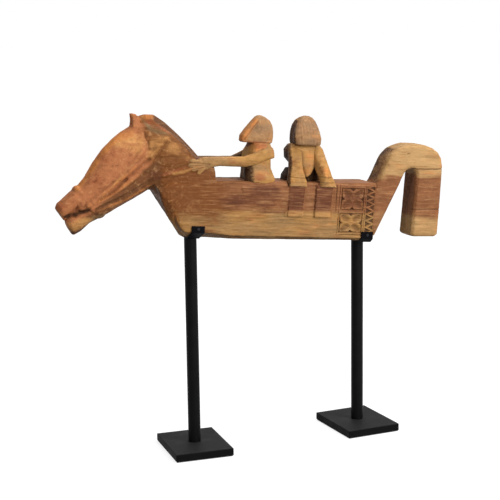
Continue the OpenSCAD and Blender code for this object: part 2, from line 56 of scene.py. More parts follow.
TILT = math.radians(5.1)        # slope of the carving, nose up
FRONT_POST_X = (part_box("front_post")[0].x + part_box("front_post")[1].x) / 2
SEAT_Z = 0.739                  # the trunk's underside over the front post


def to_carving(co):
    """Points in metres in the shared frame, as points in the carving's frame in millimetres."""
    x, z = co[:, 0] - FRONT_POST_X, co[:, 2] - SEAT_Z
    c, s = math.cos(TILT), math.sin(TILT)
    return np.stack([c * x - s * z, co[:, 1], s * x + c * z], 1) / MM


def to_shared(local):
    """The other way round."""
    x, z = local[:, 0] * MM, local[:, 2] * MM
    c, s = math.cos(TILT), math.sin(TILT)
    return np.stack([FRONT_POST_X + c * x + s * z, local[:, 1] * MM, SEAT_Z - s * x + c * z], 1)


# ---------- mesh tools ----------

WELD = 1e-6                     # points closer than this are one point
SMOOTH_STEPS = (0.5, -0.53)     # towards the neighbours' mean, and back past the start
SOFTEN_STEP = 0.5


def read_points(mesh):
    co = np.zeros(len(mesh.vertices) * 3)
    mesh.vertices.foreach_get("co", co)
    return co.reshape(-1, 3)


def read_normals(mesh):
    n = np.zeros(len(mesh.vertices) * 3)
    mesh.vertices.foreach_get("normal", n)
    return n.reshape(-1, 3)


def write_points(mesh, co):
    mesh.vertices.foreach_set("co", co.astype(np.float32).ravel())
    mesh.update()


def read_edges(mesh):
    e = np.zeros(len(mesh.edges) * 2, np.int32)
    mesh.edges.foreach_get("vertices", e)
    return e.reshape(-1, 2)


def neighbour_mean(values, edges, count):
    """Mean of each vertex's neighbours. count is how many it has."""
    total = np.zeros_like(values)
    for k in range(values.shape[1]):
        total[:, k] = (np.bincount(edges[:, 0], values[edges[:, 1], k], len(values))
                       + np.bincount(edges[:, 1], values[edges[:, 0], k], len(values)))
    return total / count


def smooth(mesh, rounds):
    """Taubin smoothing: rounds the facets off and keeps the volume."""
    co, edges = read_points(mesh), read_edges(mesh)
    count = np.maximum(np.bincount(edges.ravel(), minlength=len(co)), 1)[:, None]
    for _ in range(rounds):
        for step in SMOOTH_STEPS:
            co = co + step * (neighbour_mean(co, edges, count) - co)
    write_points(mesh, co)


def soften(mesh, rounds, weight):
    """Plain smoothing where the weight of each vertex allows it."""
    co, edges = read_points(mesh), read_edges(mesh)
    count = np.maximum(np.bincount(edges.ravel(), minlength=len(co)), 1)[:, None]
    for _ in range(rounds):
        co = co + SOFTEN_STEP * weight[:, None] * (neighbour_mean(co, edges, count) - co)
    write_points(mesh, co)


def joined(nodes):
    """One mesh object that holds copies of these CAD nodes."""
    bm = bmesh.new()
    for n in nodes:
        bm.from_mesh(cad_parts[n].data)
    bmesh.ops.remove_doubles(bm, verts=bm.verts, dist=WELD)
    mesh = bpy.data.meshes.new("form")
    bm.to_mesh(mesh)
    bm.free()
    obj = bpy.data.objects.new("form", mesh)
    bpy.context.scene.collection.objects.link(obj)
    return obj


def remeshed(obj, voxel):
    """Fuses everything in obj into one even skin of quads."""
    mod = obj.modifiers.new("remesh", "REMESH")
    mod.mode = "VOXEL"
    mod.voxel_size = voxel
    mod.use_smooth_shade = True
    bpy.context.view_layer.update()
    evaluated = obj.evaluated_get(bpy.context.evaluated_depsgraph_get())
    mesh = bpy.data.meshes.new_from_object(evaluated)
    obj.modifiers.clear()
    old = obj.data
    obj.data = mesh
    bpy.data.meshes.remove(old)
    return obj


def refine(mesh, wanted, cuts):
    """Splits the faces whose centres pass the test, for fine relief."""
    bm = bmesh.new()
    bm.from_mesh(mesh)
    centres = np.array([f.calc_center_median() for f in bm.faces])
    chosen = wanted(to_carving(centres))
    edges = {e for f, use in zip(bm.faces, chosen) if use for e in f.edges}
    bmesh.ops.subdivide_edges(bm, edges=list(edges), cuts=cuts, use_grid_fill=True)
    bm.to_mesh(mesh)
    bm.free()


def put(obj, name, material, slot, *nodes):
    """Names a finished form and has it stand in for these CAD nodes."""
    obj.name = name
    obj.data.name = name
    obj.data.materials.clear()
    obj.data.materials.append(material)
    for p in obj.data.polygons:
        p.use_smooth = True
    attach(obj, "root")
    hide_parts(*nodes)
    return obj


def paint(mesh, **amounts):
    """Keeps each of these values, from 0 to 1 at a vertex, as an attribute for the material."""
    for name, value in amounts.items():
        a = mesh.attributes.new(name, "FLOAT", "POINT")
        a.data.foreach_set("value", np.clip(value, 0, 1).astype(np.float32))


def set_cavity(mesh, depth):
    """How much painted shade darkens each vertex, 0 on the open skin and 1 in the deepest cuts and hollows.
    """
    paint(mesh, cavity=depth)


# ---------- relief ----------

def ramp(v, a, b):
    """Smooth step from 0 at a to 1 at b."""
    t = np.clip((v - a) / (b - a), 0, 1)
    return t * t * (3 - 2 * t)


def fade(v, a, b):
    """Smooth step from 1 at a to 0 at b."""
    return 1 - ramp(v, a, b)


def strongest(*fields):
    return np.maximum.reduce(fields)


def line_depth(p, q, width, x, z):
    """1 on the segment p-q, falling to 0 at half the width."""
    px, pz = p
    dx, dz = q[0] - px, q[1] - pz
    t = np.clip(((x - px) * dx + (z - pz) * dz) / (dx * dx + dz * dz), 0, 1)
    d = np.hypot(x - px - t * dx, z - pz - t * dz)
    return fade(d, 0, width / 2)


def path_depth(points, width, x, z):
    """The same for a line through several points."""
    return strongest(*(line_depth(p, q, width, x, z) for p, q in zip(points[:-1], points[1:])))


def noise_of(local, size, seed, stretch=1.0):
    """Smooth noise about -1..1 with features of this size, longer along the grain by stretch."""
    s = Vector((1 / (size * stretch), 1 / size, 1 / size))
    off = Vector((seed * 7.3, seed * 3.1, seed * 5.7))
    return np.array([noise.noise(Vector((p[0] * s.x, p[1] * s.y, p[2] * s.z)) + off) for p in local])


def chisel(local, amount, size, seed, stretch=2.2):
    """Shallow flats and ridges that a chisel leaves: the ridged side of the noise."""
    return -amount * np.abs(noise_of(local, size, seed, stretch)) * 2


PANELS = ((510, 599, 26, 95), (512, 600, 104, 181))      # each x0, x1, z0, z1
PANEL_RIM = 3               # plain wood between a panel's outline and its leaves
LEAF_DEPTH, POCKET_DEPTH = 4.4, 5.0
LEAF_STEM, LEAF_SWELL, LEAF_LENGTH = 0.10, 0.43, 1.36    # in halves of the square's side
FRAME_LINES = (((495, 100), (493, 190), 0.5), ((505, 24), (506, 190), 0.2),
               ((604, 24), (606, 186), 0.2), ((500, 20), (603, 20), 0.6))    # each from, to, and how dark its painted shade is
FRAME_LINE_WIDTH, FRAME_LINE_DEPTH = 4.5, 1.8
STRIP_X = (610, 645)
STRIP_Z = (24, 186)
PIT_DEPTH = 4.6             # beside the zigzag that stands in the strip
ZIGZAG_PITCH = 22.6
ZIGZAG_START = 148          # a height at which the zigzag touches the strip's rear edge
ZIGZAG_INSET, ZIGZAG_REACH = 0.10, 0.78                  # shares of the strip's width


def rosette(x, z, x0, x1, z0, z1):
    """Four leaves from the middle of a square to its corners.

    Gives the depth of their hollows and the depth of the pockets between them, each 0..1.
    """
    u, w = np.abs(x - (x0 + x1) / 2) / (x1 - x0) * 2, np.abs(z - (z0 + z1) / 2) / (z1 - z0) * 2
    along, across = (u + w) / math.sqrt(2), np.abs(w - u) / math.sqrt(2)
    half = LEAF_STEM + LEAF_SWELL * np.sin(math.pi * np.clip(along / LEAF_LENGTH, 0, 1)) ** 0.7
    share = across / half
    scoop = fade(share, 0.10, 0.72) * ramp(along, 0.16, 0.50) * fade(along, 1.05, 1.30)
    pocket = ramp(share, 0.98, 1.14) * ramp(along, 0.30, 0.50)
    return scoop, pocket


def panel_relief(x, z):
    """Ornament on the trunk's near side: depth in millimetres below the skin, and the painted shade in its
    hollows.
    """
    depth, recess_shade = np.zeros_like(x), np.zeros_like(x)
    for x0, x1, z0, z1 in PANELS:
        inside = (x > x0) & (x < x1) & (z > z0) & (z < z1)
        edge = np.minimum(np.minimum(x - x0, x1 - x), np.minimum(z - z0, z1 - z))
        scoop, pocket = rosette(x, z, x0 + PANEL_RIM, x1 - PANEL_RIM, z0 + PANEL_RIM, z1 - PANEL_RIM)
        # the panel's outline is a groove in its rim
        pocket = np.maximum(pocket * ramp(edge, 1.0, 3.0), 0.6 * fade(np.abs(edge - 1.8), 0.8, 3.8))
        depth = np.where(inside, LEAF_DEPTH * scoop + POCKET_DEPTH * pocket, depth)
        recess_shade = np.where(inside, np.maximum(0.60 * scoop, 0.90 * pocket), recess_shade)
    for p, q, dark in FRAME_LINES:
        d = line_depth(p, q, FRAME_LINE_WIDTH, x, z)
        depth, recess_shade = np.maximum(depth, FRAME_LINE_DEPTH * d), np.maximum(recess_shade, dark * d)
    s0, s1 = STRIP_X
    inside = (x > s0) & (x < s1) & (z > STRIP_Z[0]) & (z < STRIP_Z[1])
    t = (z - ZIGZAG_START) / ZIGZAG_PITCH + 0.5
    wave = 1 - np.abs(t - np.floor(t) - 0.5) * 2
    off = np.abs((x - s0) / (s1 - s0) - ZIGZAG_INSET - ZIGZAG_REACH * wave)
    pit = ramp(off, 0.14, 0.36) * ramp(np.minimum(x - s0, s1 - x), 0, 2)
    return np.where(inside, PIT_DEPTH * pit, depth), np.where(inside, 0.85 * pit, recess_shade)


def spot(local, x, z, rx, rz, turn=0.0):
    """Soft spot seen from the side: 1 in its middle and 0 past its rim."""
    c, s = math.cos(math.radians(turn)), math.sin(math.radians(turn))
    dx, dz = local[:, 0] - x, local[:, 2] - z
    u, w = (dx * c + dz * s) / rx, (-dx * s + dz * c) / rz
    return fade(np.sqrt(u * u + w * w), 0.2, 1.25)


def patch(local, points, soft):
    """Soft-edged patch seen from the side, inside the polygon of these x, z points."""
    x, z = local[:, 0], local[:, 2]
    inside, away = np.zeros(len(local), bool), np.full(len(local), np.inf)
    for (px, pz), (qx, qz) in zip(points, points[1:] + points[:1]):
        if pz != qz:
            inside ^= ((pz > z) != (qz > z)) & (x < (qx - px) * (z - pz) / (qz - pz) + px)
        t = ((x - px) * (qx - px) + (z - pz) * (qz - pz)) / ((qx - px) ** 2 + (qz - pz) ** 2)
        t = np.clip(t, 0, 1)
        away = np.minimum(away, np.hypot(x - px - t * (qx - px), z - pz - t * (qz - pz)))
    return ramp(np.where(inside, away, -away), -soft, soft)


# ---------- materials ----------

# Sockets of the Mix node when it mixes colours
MIX_FACTOR, MIX_COLOURS, MIX_RESULT = 0, (6, 7), 2


class Tree:
    """Short way to write a node tree."""

    def __init__(self, name):
        self.material = bpy.data.materials.new(name)
        self.material.use_nodes = True
        self.tree = self.material.node_tree
        self.bsdf = self.tree.nodes["Principled BSDF"]

    def node(self, kind, **sockets):
        n = self.tree.nodes.new(kind)
        for key, value in sockets.items():
            self.feed(n.inputs[key.replace("_", " ")], value)
        return n

    def feed(self, socket, value):
        if isinstance(value, bpy.types.NodeSocket):
            self.tree.links.new(value, socket)
        elif value is not None:
            socket.default_value = value

    def math(self, op, a, b=None):
        n = self.tree.nodes.new("ShaderNodeMath")
        n.operation = op
        for socket, value in zip(n.inputs, (a, b)):
            self.feed(socket, value)
        return n.outputs[0]

    def plus(self, a, b):
        return self.math("ADD", a, b)

    def minus(self, a, b):
        return self.math("SUBTRACT", a, b)

    def times(self, a, b):
        return self.math("MULTIPLY", a, b)

    def ramp(self, value, low, high, to_low=0.0, to_high=1.0):
        """Smooth step from to_low at low to to_high at high."""
        n = self.tree.nodes.new("ShaderNodeMapRange")
        n.interpolation_type = "SMOOTHSTEP"
        for key, v in zip(range(5), (value, low, high, to_low, to_high)):
            self.feed(n.inputs[key], v)
        return n.outputs[0]

    def mix(self, factor, a, b):
        """Colour a at 0 and colour b at 1."""
        n = self.tree.nodes.new("ShaderNodeMix")
        n.data_type = "RGBA"
        self.feed(n.inputs[MIX_FACTOR], factor)
        for key, colour in zip(MIX_COLOURS, (a, b)):
            self.feed(n.inputs[key], (*colour, 1) if isinstance(colour, tuple) else colour)
        return n.outputs[MIX_RESULT]

    def noise(self, vector, scale, detail=3, rough=0.5, distort=0.0):
        n = self.node("ShaderNodeTexNoise", Vector=vector, Scale=scale, Detail=detail,
                      Roughness=rough, Distortion=distort)
        return n.outputs[0]

    def vector(self, op, vector, x, y, z):
        n = self.tree.nodes.new("ShaderNodeVectorMath")
        n.operation = op
        self.feed(n.inputs[0], vector)
        n.inputs[1].default_value = (x, y, z)
        return n.outputs[0]

    def scaled(self, vector, x, y, z):
        return self.vector("MULTIPLY", vector, x, y, z)

    def shifted(self, vector, x, y, z):
        return self.vector("ADD", vector, x, y, z)

    def millimetres(self):
        """Position in the shared frame, in millimetres."""
        coords = self.node("ShaderNodeTexCoord").outputs["Object"]
        return self.scaled(coords, 1 / MM, 1 / MM, 1 / MM)

    def carving(self):
        """Position in the carving's frame, in millimetres."""
        coords = self.node("ShaderNodeTexCoord").outputs["Object"]
        m = self.tree.nodes.new("ShaderNodeMapping")
        m.vector_type = "TEXTURE"
        self.feed(m.inputs["Vector"], coords)
        m.inputs["Location"].default_value = (FRONT_POST_X, 0, SEAT_Z)
        m.inputs["Rotation"].default_value = (0, TILT, 0)
        m.inputs["Scale"].default_value = (MM, MM, MM)
        return m.outputs[0]

    def split(self, vector):
        n = self.node("ShaderNodeSeparateXYZ", Vector=vector)
        return n.outputs[0], n.outputs[1], n.outputs[2]

    def attribute(self, name):
        n = self.tree.nodes.new("ShaderNodeAttribute")
        n.attribute_name = name
        return n.outputs["Fac"]

    def bump(self, height, strength, distance):
        return self.node("ShaderNodeBump", Height=height, Strength=strength, Distance=distance).outputs[0]


# Colours of the wood and its tints, and of the painted shade on shaded faces and in grooves and hollows
SAPWOOD = (0.300, 0.152, 0.047)
SAPWOOD_GREY = (0.250, 0.137, 0.052)
RIDER_WOOD = (0.345, 0.174, 0.050)
RIDER_GREY = (0.270, 0.147, 0.058)
HELMET_WOOD = (0.318, 0.166, 0.070)
HELMET_GREY = (0.262, 0.148, 0.074)
TAIL_WOOD = (0.385, 0.228, 0.094)
TAIL_GREY = (0.310, 0.173, 0.067)
HEARTWOOD = (0.200, 0.077, 0.030)
JAW = (0.108, 0.042, 0.014)
PURPLE = (0.100, 0.031, 0.013)
REDWOOD = (0.368, 0.132, 0.052)
ORANGE = (0.520, 0.190, 0.052)
TAN = (0.540, 0.265, 0.085)
MOSS = (0.165, 0.112, 0.052)
MAHOGANY = (0.090, 0.038, 0.018)
RED = (0.270, 0.078, 0.030)
NECK = (0.142, 0.045, 0.010)
# painted shade, laid on faces that turn away from the lamps
SHADE = (0.032, 0.014, 0.008)
# painted shade in the grooves and hollows; the deepest take the next colour, which also darkens the grain's
# streaks
GROOVE_SHADE = (0.060, 0.020, 0.006)
DARK = (0.022, 0.009, 0.004)
GLEAM = (0.80, 0.46, 0.20)
WOOD_GLOSS = 0.09
# The band of heartwood in the log, in millimetres: how far its edges wander, where along the log its
# lower edge sinks and between which heights, where its upper edge rises and how far, and how soft
# the two edges are
BAND_WANDER = 52.0
BAND_LOW_X, BAND_LOW_Z = (560.0, 900.0), (96.0, 80.0)
BAND_HIGH_X, BAND_HIGH_RISE = (610.0, 715.0), 36.0
BAND_LOW_SOFT, BAND_HIGH_SOFT = 14.0, 9.0
RISER_FRONT_X, RISER_BACK_X = (640.0, 652.0), (806.0, 796.0)        # of the rising part of the tail


def tone(colour, factor):
    """The colour made darker or lighter."""
    return tuple(factor * c for c in colour)


def wood(name, sap=SAPWOOD, grey=SAPWOOD_GREY, top=190, tints=(), seed=0.0, streaks=1.0, mottling=0.25):
    """Log with a level band of heartwood up to the height top, streaked along the grain, oiled by hand.

    tints pairs the name of a painted attribute with its colour. The painted attribute "calm" fades
    the streaks and brings out the mottling.
    """
    t = Tree(name)
    place = t.carving()
    x, _, z = t.split(place)
    here = t.shifted(place, 137.0 * seed, 0, 61.0 * seed)

    def grain(along, across, detail, rough=0.5, distort=0.0):
        """Noise that changes this often in a millimetre along and across the grain."""
        return t.noise(t.scaled(here, along, across, across), 1.0, detail, rough, distort)

    slow = grain(0.006, 0.022, 3)
    broad = grain(0.007, 0.060, 4, 0.55, 0.4)
    streak = grain(0.014, 0.17, 4, 0.62, 0.3)
    fine = grain(0.045, 0.55, 3, 0.65)
    pores = grain(0.10, 1.3, 2, 0.6)
    blotch = grain(0.016, 0.034, 4, 0.6)
    mottle = grain(0.060, 0.060, 5, 0.72, 0.6)
    # the heartwood's edges wander with the grain
    level = t.plus(z, t.times(t.minus(broad, 0.5), BAND_WANDER))
    low = t.ramp(x, *BAND_LOW_X, *BAND_LOW_Z)
    high = t.ramp(x, *BAND_HIGH_X, top, top + BAND_HIGH_RISE)
    above = t.ramp(t.minus(level, low), -BAND_LOW_SOFT, BAND_LOW_SOFT)
    below = t.ramp(t.minus(high, level), -BAND_HIGH_SOFT, BAND_HIGH_SOFT)
    # on the rising part of the tail the dark wood goes down to its foot
    riser = t.times(t.ramp(x, *RISER_FRONT_X), t.ramp(x, *RISER_BACK_X))
    band = t.math("MAXIMUM", t.times(above, below), t.times(t.times(riser, below), 0.75))
    pale = t.mix(t.ramp(slow, 0.38, 0.64), sap, grey)
    pale = t.mix(t.ramp(blotch, 0.52, 0.78, 0.0, 0.35), pale, ORANGE)
    dark = t.mix(t.ramp(blotch, 0.42, 0.68, 0.0, 0.75), HEARTWOOD, tone(HEARTWOOD, 0.72))
    colour = t.mix(band, pale, dark)
    # the tints' edges are as ragged as the grain
    edge = t.plus(t.times(t.minus(blotch, 0.5), 1.1), t.times(t.minus(streak, 0.5), 0.7))
    for key, tint in tints:
        amount = t.ramp(t.plus(t.attribute(key), edge), 0.10, 0.90, 0.0, 0.92)
        colour = t.mix(amount, colour, tint)
    # streaks of darker and lighter wood along the grain, and mottling where it is calm
    calm = t.times(t.attribute("calm"), 0.75)
    keep = t.times(t.minus(1.0, calm), streaks)
    streak, fine, broad = (t.plus(t.times(t.minus(n, 0.5), keep), 0.5) for n in (streak, fine, broad))
    spots = t.plus(calm, mottling)
    darker, lighter = t.mix(0.70, colour, DARK), t.mix(0.45, colour, GLEAM)
    # each shows from one value of its noise to another, up to a share
    layers = ((broad, 0.50, 0.72, 0.34, 1.0, darker), (streak, 0.50, 0.72, 0.55, 1.0, darker),
              (streak, 0.50, 0.30, 0.34, 1.0, lighter), (fine, 0.54, 0.74, 0.40, 1.0, darker),
              (mottle, 0.50, 0.70, 0.60, spots, darker), (mottle, 0.48, 0.30, 0.50, spots, lighter),
              (pores, 0.64, 0.72, 0.40, 1.0, darker))
    for value, start, full, share, where, other in layers:
        colour = t.mix(t.times(t.ramp(value, start, full, 0.0, share), where), colour, other)
    # painted shade in the grooves, cracks and hollows, from the painted attribute
    cavity = t.attribute("cavity")
    recess_shade = t.mix(t.ramp(cavity, 0.55, 1.0), GROOVE_SHADE, DARK)
    colour = t.mix(t.times(cavity, 0.92), colour, recess_shade)
    t.feed(t.bsdf.inputs["Base Color"], colour)
    t.feed(t.bsdf.inputs["Roughness"], t.ramp(streak, 0.3, 0.7, 0.52, 0.68))
    t.bsdf.inputs["Specular IOR Level"].default_value = WOOD_GLOSS
    height = t.plus(t.plus(t.times(fine, 0.6), t.times(pores, -0.4)), t.times(streak, 1.2))
    t.feed(t.bsdf.inputs["Normal"], t.bump(height, 0.40, 0.0012))
    return t.material


def painted_steel(name, base, lighter, rough, gloss, upright=1.0):
    """Black paint on rolled steel: a slight orange peel, rubbed patches and dust.

    upright is how light the upright faces are painted beside the level ones, as painted shade.
    """
    t = Tree(name)
    place = t.millimetres()
    worn = t.noise(place, 0.022, 4, 0.6)
    peel = t.noise(place, 0.55, 2)
    dust = t.noise(place, 0.9, 4, 0.7)
    colour = t.mix(t.ramp(worn, 0.4, 0.7, 0.0, 0.5), base, lighter)
    colour = t.mix(t.ramp(dust, 0.60, 0.78, 0.0, 0.25), colour, tone(lighter, 3))
    # painted shade: the upright faces darker than the level ones, which face the lamps above
    level = t.split(t.node("ShaderNodeNewGeometry").outputs["Normal"])[2]
    colour = t.mix(t.ramp(level, 0.5, 0.9, 1 - upright, 0.0), colour, (0.0, 0.0, 0.0))
    t.feed(t.bsdf.inputs["Base Color"], colour)
    t.feed(t.bsdf.inputs["Roughness"], t.ramp(worn, 0.3, 0.7, rough - 0.07, rough + 0.08))
    t.bsdf.inputs["Specular IOR Level"].default_value = gloss
    t.feed(t.bsdf.inputs["Normal"], t.bump(peel, 0.10, 0.0004))
    return t.material


def bare_steel(name, base, rough):
    """Turned or plated steel with fine rings."""
    t = Tree(name)
    lines = t.noise(t.scaled(t.millimetres(), 0.1, 0.1, 3.0), 1.0, 2)
    t.feed(t.bsdf.inputs["Base Color"], t.mix(t.ramp(lines, 0.4, 0.6, 0.0, 0.3), base, tone(base, 0.7)))
    t.feed(t.bsdf.inputs["Roughness"], t.ramp(lines, 0.3, 0.7, rough, rough + 0.12))
    t.bsdf.inputs["Metallic"].default_value = 1.0
    t.feed(t.bsdf.inputs["Normal"], t.bump(lines, 0.15, 0.0003))
    return t.material


def felt(name):
    """Pressed black felt: short matted hair."""
    t = Tree(name)
    hair = t.noise(t.millimetres(), 1.6, 4, 0.8)
    t.feed(t.bsdf.inputs["Base Color"], t.mix(hair, (0.03, 0.03, 0.033), (0.09, 0.09, 0.095)))
    t.bsdf.inputs["Roughness"].default_value = 0.95
    t.bsdf.inputs["Sheen Weight"].default_value = 0.2
    t.feed(t.bsdf.inputs["Normal"], t.bump(hair, 0.5, 0.0008))
    return t.material


# ---------- the horse ----------

HORSE_NODES = ("horse_trunk", "horse_head_and_neck", "horse_ears", "horse_mane", "bridle_and_reins",
               "front_rider_legs", "rear_rider_legs")
HORSE_VOXEL = 0.0024
HORSE_ROUNDS, FACE_ROUNDS, CHEST_ROUNDS, THIGH_ROUNDS = 6, 14, 16, 90   # of smoothing
PANEL_CUTS = 3              # cuts through each side of a face round the panels
TAKEN_OFF = 0.8             # millimetres of skin that remeshing and smoothing take off
JAW_TAKEN_OFF = 2.6         # what the softening of the face takes off the jaw besides
TOOL_DEPTH, TOOL_SIZE = 0.5, 26         # of the chisel's flats, in millimetres
WAVE_DEPTH, WAVE_SIZE = 1.2, 60         # of the log's uneven surface
TRUNK_SIDE = 71             # millimetres from the middle, just outside the trunk's flat side
LEG_ZONE_X, LEG_ZONE_Z = (290, 490), 60     # the rear rider's legs: from x to x, above this height
LEG_SINK = 0.62             # share of the rear rider's legs that sinks into the trunk
FOOT_TAPER = 5              # how far the near legs narrow from the knee to the foot
# The near legs of the rear rider, left to right: from x to x, and how far each side moves inwards
NEAR_LEGS = ((305, 372, 10.0, 0.0), (411, 478, 3.0, 3.0))
# Heights, how far the chest's near corner comes forward there, and where the chest starts
CHEST_Z, CHEST_REACH = [0, 30, 60, 100, 150], [12, 26, 26, 13, 0]
CHEST_FRONT_Z, CHEST_FRONT_X = [0, 50, 150], [-30, -40, -125]

# Lines on both sides of the head and neck: (height, width, darkness of painted shade, points). Heights
# are in millimetres, above zero for ridges and below zero for grooves
HEAD_LINES = [
    (3.2, 22, 0.0, [(-353, 112), (-321, 139), (-294, 165), (-266, 187), (-220, 230), (-188, 264)]),
    (4.0, 26, 0.0, [(-385, 88), (-367, 96), (-320, 120), (-283, 140), (-245, 164), (-208, 202),
                    (-176, 236), (-161, 265)]),
    (3.0, 22, 0.0, [(-330, 84), (-289, 100), (-240, 120), (-200, 142), (-160, 172)]),
    (-2.6, 15, 0.30, [(-333, 143), (-308, 162), (-285, 182), (-257, 206), (-230, 234), (-192, 262)]),
    (-4.8, 18, 0.74, [(-326, 120), (-301, 134), (-278, 153), (-262, 173), (-246, 187)]),
    (-3.6, 15, 0.50, [(-250, 184), (-219, 213), (-193, 240), (-178, 252)]),
    (-3.4, 15, 0.52, [(-340, 88), (-318, 99), (-289, 113), (-242, 138), (-204, 160), (-176, 182)]),
    (-4.6, 28, 1.60, [(-440, 50), (-416, 64), (-400, 66), (-385, 77), (-366, 80)]),
    (-2.2, 14, 0.60, [(-366, 80), (-347, 74), (-320, 68)]),
    (-3.0, 10, 0.66, [(-194, 340), (-191, 321), (-181, 303), (-177, 284)]),
    (-2.0, 30, 0.0, [(-141, 252), (-139, 224), (-142, 196), (-136, 168)]),
    (2.2, 20, 0.0, [(-168, 262), (-156, 275), (-143, 297), (-122, 318)]),
    (-2.2, 14, 0.34, [(-158, 256), (-144, 272), (-132, 292), (-112, 312)]),
    (-2.6, 20, 0.42, [(-186, 348), (-151, 340), (-111, 331), (-79, 303), (-47, 276), (-14, 252)]),
    (1.5, 9, 0.0, [(-143, 267), (-99, 271), (-43, 273)]),
    (-1.2, 8, 0.30, [(-143, 261), (-99, 264), (-52, 264)]),
    (1.5, 9, 0.0, [(-122, 244), (-87, 245), (-48, 256)]),
    (-1.6, 12, 0.30, [(-150, 237), (-120, 232), (-86, 226), (-60, 236), (-36, 247)]),
    (2.6, 17, 0.0, [(-128, 200), (-110, 207), (-86, 217), (-57, 225), (-27, 228)]),
    (-1.8, 12, 0.34, [(-140, 190), (-110, 196), (-80, 203), (-40, 212), (-5, 218)]),
    (-1.6, 10, 0.26, [(-138, 200), (-106, 215), (-72, 232), (-48, 245)]),
    (-2.0, 20, 0.40, [(-205, 160), (-172, 158), (-140, 170)]),
    (-1.4, 20, 0.40, [(-400, 8), (-368, 24), (-336, 50), (-312, 60), (-262, 84)]),
    (-1.2, 12, 0.30, [(-118, 150), (-96, 104), (-74, 58), (-40, 14)]),
    (1.2, 12, 0.0, [(-102, 150), (-80, 104), (-58, 60), (-24, 18)]),
]

# Tints of the horse, later ones over earlier ones; the last is painted shade
HORSE_TINTS = (("neck", NECK), ("cheek", REDWOOD), ("jaw", JAW), ("tan", TAN), ("orange", ORANGE),
               ("red", RED), ("mane", MAHOGANY), ("moss", MOSS), ("purple", PURPLE), ("shade", SHADE))
# Where they lie, seen from the side. A spot is (strength, x, z, length, height, turn in degrees)
HORSE_SPOTS = {
    "orange": [(0.595, -262, 322, 60, 16, 25), (0.595, -325, 262, 16, 60, -38), (0.595, -176, 388, 26, 14)],
    "red": [(0.6, -319, 250, 24, 24), (0.6, -290, 268, 16, 16), (0.6, -452, 88, 24, 24),
            (0.6, -345, 182, 30, 24), (0.6, -170, 372, 22, 12)],
    "moss": [(0.6, -330, 62, 34, 12, 15)],
    "purple": [(0.7, 208, 160, 60, 34), (0.7, 150, 130, 120, 26), (0.7, 560, 150, 80, 50),
               (0.7, -150, 200, 34, 26)],
}
# A stripe is (strength, width, points)
HORSE_STRIPES = {
    "orange": [(0.85, 26, [(-398, 150), (-357, 208), (-330, 252), (-300, 290), (-262, 328)]),
               (0.425, 20, [(-62, 84), (-40, 46), (-22, 10)]),
               # painted highlights: these three follow the lit tops of three ridges of the head
               (0.4675, 16, [(-321, 139), (-266, 187), (-220, 230)]),
               (0.4675, 20, [(-367, 96), (-283, 140), (-208, 202)]),
               (0.4675, 18, [(-330, 84), (-240, 120), (-160, 172)])],
    "tan": [(0.45, 14, [(-324, 129), (-252, 212), (-214, 252)]),
            (0.55, 22, [(-92, 212), (-55, 220), (-20, 236)])],
    "red": [(0.5, 20, [(-135, 202), (-87, 221), (-42, 240)])],
}
# A patch is (strength, softness of its edge, points)
HORSE_PATCHES = {
    "tan": [(0.56, 24.0, [(-312, 296), (-272, 321), (-240, 332), (-196, 336), (-186, 300), (-190, 284),
                          (-208, 268), (-246, 270), (-282, 284)]),
            (0.50, 12.0, [(-194, 256), (-184, 284), (-182, 308), (-172, 333), (-118, 335), (-107, 327),
                          (-132, 301), (-149, 275), (-165, 255)]),
            (0.40, 16.0, [(-130, 330), (-106, 330), (-56, 278), (-36, 262), (-82, 262), (-124, 286)]),
            (0.55, 8.0, [(-428, 32), (-410, 50), (-374, 62), (-338, 58), (-358, 40), (-390, 16),
                         (-412, 12)])],
    "red": [(0.55, 9.0, [(-177, 392), (-140, 384), (-112, 358), (-92, 332), (-126, 340), (-146, 356),
                         (-160, 369)])],
    "moss": [(0.62, 8.0, [(-192, 380), (-182, 369), (-163, 355), (-123, 345), (-104, 334), (-152, 331),
                          (-184, 344)])],
    "purple": [(0.62, 16.0, [(184, 184), (158, 160), (182, 132), (200, 112), (232, 96), (276, 124),
                             (306, 152), (276, 184)])],
}
# The dark line along the top of the mane
MANE_LINE, MANE_LINE_WIDTH = [(-146, 382), (-110, 358), (-64, 322), (-23, 280), (12, 250)], 46


def head_relief(local, normal):
    """Lift of the skin on both sides of the head and neck, and the painted shade in its creases."""
    x, y, z = local.T
    side = ramp(np.abs(normal[:, 1]), 0.25, 0.6) * (np.abs(y) > 8)
    lift, recess_shade = np.zeros_like(x), np.zeros_like(x)
    wobble, broken = 4.0 * noise_of(local, 26, seed=21), 0.72 + 0.5 * noise_of(local, 16, seed=27)
    zone = (x < 20) & (z > 0)
    for height, width, dark, points in HEAD_LINES:
        d = np.zeros_like(x)
        d[zone] = path_depth(points, width, x[zone] + wobble[zone], z[zone] + wobble[zone])
        lift += height * d * side
        recess_shade = np.maximum(recess_shade, dark * d * side * broken)
    return lift, recess_shade


def settle_legs(local):
    """Sinks the rear rider's legs into the trunk and trims the sides of the near ones."""
    x, y, z = local.T
    zone = (x > LEG_ZONE_X[0]) & (x < LEG_ZONE_X[1]) & (z > LEG_ZONE_Z)
    proud = np.where(zone, np.maximum(np.abs(y) - TRUNK_SIDE, 0), 0)
    local[:, 1] -= np.sign(y) * LEG_SINK * proud
    share = ramp(proud, 3, 8) * (y < 0)
    for x0, x1, left, right in NEAR_LEGS:
        on = (x > x0 - 12) & (x < x1 + 12)
        t = np.clip((x - x0) / (x1 - x0), 0, 1)
        local[:, 0] += share * on * (left * (1 - t) - (right + FOOT_TAPER * fade(z, 80, 180)) * t)


